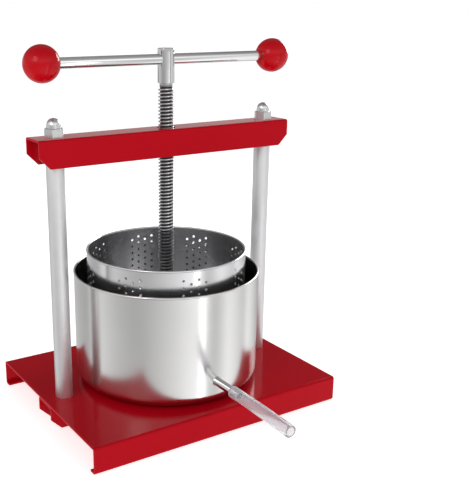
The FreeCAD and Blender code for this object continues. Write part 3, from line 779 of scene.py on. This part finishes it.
def ridge_pattern(play):
    """Trapezoidal ridge with softened crests, as (offset, radius) over one pitch."""
    crest, root = CREST_RADIUS + play, ROOT_RADIUS + play
    wide, narrow, soft = HALF_ROOT + play, HALF_CREST + play, 0.00012
    return [
        (-wide, root), (-narrow - soft / 2, crest - soft), (-narrow + soft, crest),
        (narrow - soft, crest), (narrow + soft / 2, crest - soft), (wide, root),
    ]


def make_screw():
    low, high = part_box("press_screw")
    bar_height = centre_of("handle_bar").z
    soft = 0.0005
    bm = bmesh.new()
    lathe(bm, rounded([
        (0, low.z, 0), (FOOT_RADIUS, low.z, soft), (FOOT_RADIUS, GROOVE_LOW, soft / 2),
        (GROOVE_RADIUS, GROOVE_LOW, 0), (GROOVE_RADIUS, GROOVE_HIGH, 0),
        (FOOT_RADIUS, GROOVE_HIGH, soft / 2), (FOOT_RADIUS, CORE_BASE, 0), (ROOT_RADIUS, CORE_BASE, 0),
    ], steps=3), THREAD_STEPS)
    thread(
        bm, CORE_BASE, RELIEF_BASE, PITCH, ridge_pattern(0), THREAD_START,
        external_thread(ROOT_RADIUS), THREAD_STEPS,
    )
    lathe(bm, rounded([
        (ROOT_RADIUS, RELIEF_BASE, 0), (RELIEF_RADIUS, RELIEF_BASE, 0), (RELIEF_RADIUS, HEAD_BASE, 0),
        (HEAD_RADIUS, HEAD_BASE, HEAD_BEVEL), (HEAD_RADIUS, bar_height - BAR_HOLE_BAND, 0),
        (HEAD_RADIUS, bar_height + BAR_HOLE_BAND, 0), (HEAD_RADIUS, high.z, HEAD_BEVEL),
        (0, high.z, 0),
    ], steps=4), THREAD_STEPS)
    tool = bmesh.new()
    reach = 0.02
    rod(tool, BAR_HOLE, -reach, reach, 48, along((1, 0, 0), Vector((0, 0, bar_height))))
    mesh = cut_mesh(to_mesh("screw", bm, 28), tool, 28)
    piece(mesh, "screw", screw_steel, "screw_steel", "press_screw")


def make_press_nut():
    low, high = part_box("press_nut")
    radius = (high.x - low.x) / 2
    mouth = CREST_RADIUS + 0.0005
    bm = bmesh.new()
    thread(
        bm, low.z, high.z, PITCH, ridge_pattern(THREAD_PLAY), THREAD_START,
        lambda reach, distance: max(reach, mouth - distance), THREAD_STEPS,
    )
    lathe(bm, rounded([
        (mouth, low.z, 0), (radius, low.z, 0.0008), (radius, high.z, 0), (mouth, high.z, 0),
    ], steps=4), THREAD_STEPS)
    piece(to_mesh("nut_under_beam", bm, 28), "frame", nut_steel, "nut_steel", "press_nut")


def make_nut_weld():
    """Painted weld bead, a little uneven, in the corner between the nut and the crossbeam."""
    low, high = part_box("press_nut")
    start = (high.x - low.x) / 2 - WELD_BITE
    size, ripple, unevenness = 0.0019, 0.00022, 0.0001

    def bead(angle):
        swell = size + ripple * math.sin(26 * angle) + unevenness * math.sin(11 * angle)
        return [(start, high.z)] + arc(start, high.z, swell + WELD_BITE, 0, -90, 6)

    bm = bmesh.new()
    lathe(bm, bead, 208, closed=True)
    piece(to_mesh("nut_weld", bm, 60), "frame", red_paint, "red_paint")


make_screw()
make_press_nut()
make_nut_weld()

# ---- pressing disc --------------------------------------------------------------------------------


def make_disc():
    low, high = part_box("pressing_disc")
    radius, edge = (high.x - low.x) / 2, 0.001
    bm = bmesh.new()
    lathe(bm, rounded([
        (0, low.z, 0), (radius, low.z, edge), (radius, high.z, edge), (0, high.z, 0),
    ], steps=6), 192)
    piece(to_mesh("disc", bm), "press_plate", disc_steel, "stainless_disc", "pressing_disc")


def make_socket():
    low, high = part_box("disc_socket")
    radius, bevel, reach = (high.x - low.x) / 2, 0.001, 0.03
    bm = bmesh.new()
    lathe(bm, rounded([
        (SOCKET_BORE, low.z, 0), (radius, low.z, 0), (radius, high.z - bevel, 0),
        (radius - bevel, high.z, 0), (SOCKET_BORE, high.z, 0.0004),
    ], closed=True, steps=3), 64, closed=True)
    tool = bmesh.new()
    place = along((0, 1, 0), Vector((0, 0, centre_of("set_screws").z)))
    rod(tool, SET_SCREW_HOLE, -reach, reach, 32, place)
    mesh = cut_mesh(to_mesh("socket", bm), tool)
    made = piece(mesh, "press_plate", disc_steel, "stainless_disc", "disc_socket")
    soften_edges(made, 0.0002)


make_disc()
make_socket()

# ---- tee handle -----------------------------------------------------------------------------------


def make_bar():
    soft = 0.0004
    bm = bmesh.new()
    right = rounded([
        (BAR_RADIUS, 0, 0), (BAR_RADIUS, BAR_SHOULDER, soft), (BAR_TIP_RADIUS, BAR_SHOULDER, 0),
        (BAR_TIP_RADIUS, BAR_TIP_END - BAR_TIP_BEVEL, 0),
        (BAR_TIP_RADIUS - BAR_TIP_BEVEL, BAR_TIP_END, 0), (0, BAR_TIP_END, 0),
    ], steps=3)
    left = [(radius, -x) for radius, x in reversed(right[1:])]
    lathe(bm, left + right, 64, along((1, 0, 0), Vector((0, 0, centre_of("handle_bar").z))))
    piece(to_mesh("bar", bm), "screw", bar_chrome, "chrome_bar", "handle_bar")


def make_knob(side, sign):
    node = side + "_knob"
    low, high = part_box(node)
    outer_end = max(abs(low.x), abs(high.x))
    centre = outer_end - KNOB_RADIUS
    flat = min(abs(low.x), abs(high.x))
    rim = math.sqrt(KNOB_RADIUS ** 2 - (centre - flat) ** 2)
    edge_angle = 4              # degrees of the ball that its rounded edge takes up
    start = math.degrees(math.atan2(rim, flat - centre)) - edge_angle
    ball = [(y, x) for x, y in arc(centre, 0, KNOB_RADIUS, start, 0, 48)]
    hole_end = flat + INSERT_HOLE_DEPTH
    profile = [
        (0, hole_end), (INSERT_RADIUS, hole_end), (INSERT_RADIUS, flat),
        (rim - 0.0012, flat), (rim - 0.0003, flat + 0.0002),
    ]
    profile += ball[:-1] + [(0, outer_end)]
    bm = bmesh.new()
    lathe(bm, profile, 96, along((sign, 0, 0), Vector((0, 0, centre_of(node).z))))
    piece(to_mesh(side + "_ball", bm), "screw", red_plastic, "red_knob", node)


make_bar()
for side, sign in SIDES.items():
    make_knob(side, sign)

# ---- bucket ---------------------------------------------------------------------------------------


def rolled_rim(wall_radius, rim_top, steps=20):
    """Rim bead on a sheet wall, from the outside face of the wall over the top to the inside."""
    middle = wall_radius - POT_SHEET / 2
    start = math.degrees(math.asin(math.sqrt(RIM_ROLL ** 2 - (POT_SHEET / 2) ** 2) / RIM_ROLL))
    return arc(middle, rim_top - RIM_ROLL, RIM_ROLL, -start, 180 + start, steps)


def make_bucket():
    low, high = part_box("bucket")
    inside = BUCKET_RADIUS - POT_SHEET
    outer = rounded([
        (0, low.z, 0), (BUCKET_RADIUS, low.z, BUCKET_CORNER), (BUCKET_RADIUS, high.z, 0),
    ], steps=16)[:-1]
    band = (SPOUT_HEIGHT - SPOUT_BAND, SPOUT_HEIGHT + SPOUT_BAND)
    outer += [(BUCKET_RADIUS, height) for height in band]
    inner = [(inside, height) for height in reversed(band)]
    floor = low.z + POT_SHEET
    inner += list(reversed(rounded([
        (0, floor, 0), (inside, floor, BUCKET_CORNER - POT_SHEET), (inside, high.z, 0),
    ], steps=16)[:-1]))
    bm = bmesh.new()
    lathe(bm, outer + rolled_rim(BUCKET_RADIUS, high.z) + inner, 240)
    tool = bmesh.new()
    before_wall, past_wall = 0.09, 0.12
    place = along((0, -1, 0), Vector((0, 0, SPOUT_HEIGHT)))
    rod(tool, SPOUT_RADIUS, before_wall, past_wall, 48, place)
    mesh = cut_mesh(to_mesh("bucket_shell", bm), tool)
    piece(mesh, "bucket", pot_steel, "stainless_pot", "bucket", "bucket_floor")


make_bucket()

# ---- basket ---------------------------------------------------------------------------------------

HOLE_RADIUS = 0.0015
HOLE_PITCH = 0.0086
HIGHEST_HOLE = 0.012            # below the rim
GROUPS = 8
COLUMNS = 4
HOLE_ROWS = 15
COLUMN_ANGLE = 5.4              # degrees
GROUP_PHASE = -11.5             # middle of the first group, from -Y towards +X
LOW_START_GROUPS = (6, 7)
CELL = 6                        # grid steps along each side of a hole's cell
PLAIN_STEPS = 10                # grid steps between two groups


def make_basket():
    low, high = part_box("basket")
    step = HOLE_PITCH / CELL
    rows = HOLE_ROWS * CELL + CELL // 2
    top = high.z - HIGHEST_HOLE + HOLE_PITCH / 2
    heights = [top - step * row for row in range(rows + 1)]
    group_angle = 360.0 / GROUPS
    plain_angle = (group_angle - COLUMNS * COLUMN_ANGLE) / PLAIN_STEPS
    angles = []
    for group in range(GROUPS):
        start = GROUP_PHASE + group * group_angle - COLUMNS * COLUMN_ANGLE / 2
        angles += [start + COLUMN_ANGLE / CELL * k for k in range(COLUMNS * CELL)]
        angles += [start + COLUMNS * COLUMN_ANGLE + plain_angle * k for k in range(PLAIN_STEPS)]
    around = len(angles)
    per_group = COLUMNS * CELL + PLAIN_STEPS
    bm = bmesh.new()

    def spot(radius, degrees, height):
        angle = math.radians(degrees)
        return Vector((radius * math.sin(angle), -radius * math.cos(angle), height))

    grids = {}
    for radius in (BASKET_RADIUS, BASKET_RADIUS - POT_SHEET):
        known = {}

        def vertex(column, row, radius=radius, known=known):
            key = (column % around, row)
            if key not in known:
                known[key] = bm.verts.new(spot(radius, angles[key[0]], heights[row]))
            return known[key]

        grids[radius] = vertex

    def quads(first_column, last_column, first_row, last_row):
        for vertex in grids.values():
            for c in range(first_column, last_column):
                for r in range(first_row, last_row):
                    corners = (vertex(c, r), vertex(c + 1, r), vertex(c + 1, r + 1), vertex(c, r + 1))
                    bm.faces.new(corners)

    def hole_cell(column, row):
        """One hole in a cell of CELL by CELL grid steps, through both faces of the wall."""
        edge = [(column + k, row) for k in range(CELL)] + [(column + CELL, row + k) for k in range(CELL)]
        edge += [(column + CELL - k, row + CELL) for k in range(CELL)]
        edge += [(column, row + CELL - k) for k in range(CELL)]
        middle_angle = angles[column % around] + COLUMN_ANGLE / 2
        middle_height = heights[row] - HOLE_PITCH / 2
        rims = []
        for radius, vertex in grids.items():
            border = [vertex(c, r) for c, r in edge]
            rim = []
            for k in range(len(edge)):
                turn = math.tau * (k - CELL / 2) / len(edge)
                sideways = math.degrees(HOLE_RADIUS * math.sin(turn) / BASKET_RADIUS)
                rim.append(bm.verts.new(
                    spot(radius, middle_angle + sideways, middle_height + HOLE_RADIUS * math.cos(turn))
                ))
            join_rows(bm, [border, rim])
            rims.append(rim)
        join_rows(bm, rims)

    for group in range(GROUPS):
        first = group * per_group
        for column in range(COLUMNS):
            lowered = (column + (group in LOW_START_GROUPS)) % 2
            start = CELL // 2 * lowered
            c = first + column * CELL
            for hole in range(HOLE_ROWS):
                hole_cell(c, start + hole * CELL)
            if lowered:
                quads(c, c + CELL, 0, start)
            else:
                quads(c, c + CELL, HOLE_ROWS * CELL, rows)
        quads(first + COLUMNS * CELL, first + per_group, 0, rows)

    def ring(points):
        return [[bm.verts.new(spot(r, a, z)) for a in angles] for r, z in points]

    def close_end(row, profile):
        """Joins the two faces of the wall at a row, over a profile from outside to inside."""
        outer, inner = ([vertex(c, row) for c in range(around)] for vertex in grids.values())
        join_rows(bm, [outer] + ring(profile) + [inner])

    soft = 0.0003
    bottom = rounded([
        (BASKET_RADIUS, heights[-1], 0), (BASKET_RADIUS, low.z, soft),
        (BASKET_RADIUS - POT_SHEET, low.z, soft), (BASKET_RADIUS - POT_SHEET, heights[-1], 0),
    ], steps=3)[1:-1]
    close_end(0, rolled_rim(BASKET_RADIUS, high.z))
    close_end(rows, bottom)
    piece(to_mesh("basket_shell", bm, 40), "basket", basket_steel, "stainless_basket", "basket")


make_basket()

# ---- CAD nodes that stay --------------------------------------------------------------------------


def paint_node(node, material):
    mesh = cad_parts[node].data
    mesh.materials.clear()
    mesh.materials.append(material)


paint_node("set_screws", zinc)
paint_node("left_knob_insert", brass)
paint_node("right_knob_insert", brass)

# ---- floor, light and surroundings ----------------------------------------------------------------


def make_floor():
    bm = bmesh.new()
    lathe(bm, [(radius, 0) for radius in (0, 0.6, 2.0, 8.0, 40.0)], 32)
    floor = bpy.data.objects.new("floor", to_mesh("floor", bm))
    bpy.context.collection.objects.link(floor)
    made = bpy.data.materials.new("floor")
    made.use_nodes = True
    nodes = Nodes(made.node_tree)
    made.node_tree.nodes.remove(made.node_tree.nodes["Principled BSDF"])
    matt = nodes.add("BsdfDiffuse", {"Color": (0.93, 0.93, 0.93, 1)})
    glow = nodes.add("Emission", {"Color": (1, 1, 1, 1), "Strength": 0.60})
    both = nodes.add("AddShader", {0: matt.outputs[0], 1: glow.outputs[0]})
    made.node_tree.links.new(both.outputs[0], made.node_tree.nodes["Material Output"].inputs["Surface"])
    floor.data.materials.append(made)
    floor.visible_glossy = False


# Brightness round the horizon, as seen in the bucket: degrees from the camera's side, counter-clockwise.
HORIZON = [
    (-180, 0.62), (-140, 0.52), (-124, 0.46), (-112, 0.44), (-104, 0.78), (-92, 0.80), (-75, 0.64),
    (-60, 0.54), (-40, 0.46), (-26, 0.48), (-7, 0.60), (12, 0.76), (31, 0.97), (38, 0.95), (43, 0.88),
    (44, 3.0), (47, 3.0), (48, 0.80), (51, 0.74), (60, 0.58), (66, 0.62), (82, 0.99), (90, 0.92),
    (110, 0.66), (122, 0.98), (136, 0.74), (160, 0.40), (170, 0.50), (180, 0.62),
]
# Brightness above the horizon on the two sides, as (sine of the height, value).
CAMERA_SIDE = [
    (0.0, 0.6), (0.12, 0.65), (0.27, 1.30), (0.48, 1.30), (0.62, 0.70), (0.80, 0.45), (1.0, 0.30),
]
FAR_SIDE = [(0.0, 0.95), (0.14, 0.70), (0.26, 0.14), (0.55, 0.20), (0.85, 0.30), (1.0, 0.30)]
# Half of the gain on the horizon's brightness, from level down, as (depth, half of the gain).
BELOW = [(0.0, 0.5), (0.3, 0.5), (0.6, 0.65), (0.75, 0.62), (0.92, 0.08)]
CAMERA_SIDE_ANGLE = math.atan2(CAMERA_PLACE.y, CAMERA_PLACE.x)


def make_world():
    world = bpy.data.worlds.new("studio")
    bpy.context.scene.world = world
    world.use_nodes = True
    nodes = Nodes(world.node_tree)
    direction = nodes.add("TexCoord").outputs["Generated"]
    parts = nodes.add("SeparateXYZ", {0: direction}).outputs
    height = parts[2]
    turn = nodes.math("ARCTAN2", parts[1], parts[0])
    turn = nodes.math("SUBTRACT", turn, CAMERA_SIDE_ANGLE)
    turn = nodes.math("ADD", nodes.math("DIVIDE", turn, math.tau), 0.5)
    turn = nodes.math("FRACT", turn)
    around = nodes.ramp(turn, [((degrees + 180) / 360, value) for degrees, value in HORIZON])
    cosine = nodes.math("COSINE", nodes.math("MULTIPLY", nodes.math("SUBTRACT", turn, 0.5), math.tau))
    facing = nodes.math("ADD", nodes.math("MULTIPLY", cosine, 0.75), 0.5, clamp=True)
    upward = nodes.mix(facing, nodes.ramp(height, FAR_SIDE), nodes.ramp(height, CAMERA_SIDE))
    gain = nodes.ramp(nodes.math("MULTIPLY", height, -1.0), BELOW)
    lower = nodes.math("MULTIPLY", nodes.math("MULTIPLY", around, gain), 2.0)
    rising = nodes.add("MapRange", {"Value": height, "From Min": -0.12, "From Max": 0.06}).outputs[0]
    studio = nodes.mix(rising, lower, upward)
    seen = nodes.mix(nodes.add("LightPath").outputs["Is Camera Ray"], studio, (1, 1, 1, 1))
    background = world.node_tree.nodes["Background"]
    world.node_tree.links.new(seen, background.inputs["Color"])


def make_light(name, place, aim, width, height, power):
    data = bpy.data.lights.new(name, "AREA")
    data.shape = "RECTANGLE"
    data.size, data.size_y, data.energy = width, height, power
    light = bpy.data.objects.new(name, data)
    light.location = place
    light.rotation_euler = (Vector(aim) - Vector(place)).to_track_quat("-Z", "Y").to_euler()
    bpy.context.collection.objects.link(light)


make_floor()
make_world()
make_light("left_panel", (-1.3, -0.6, 1.2), (0, 0, 0.25), 0.7, 0.7, 4)
make_light("right_panel", (1.3, 0.5, 0.7), (0.12, 0, 0.05), 0.6, 0.6, 9)
bpy.context.scene.view_settings.view_transform = "Standard"
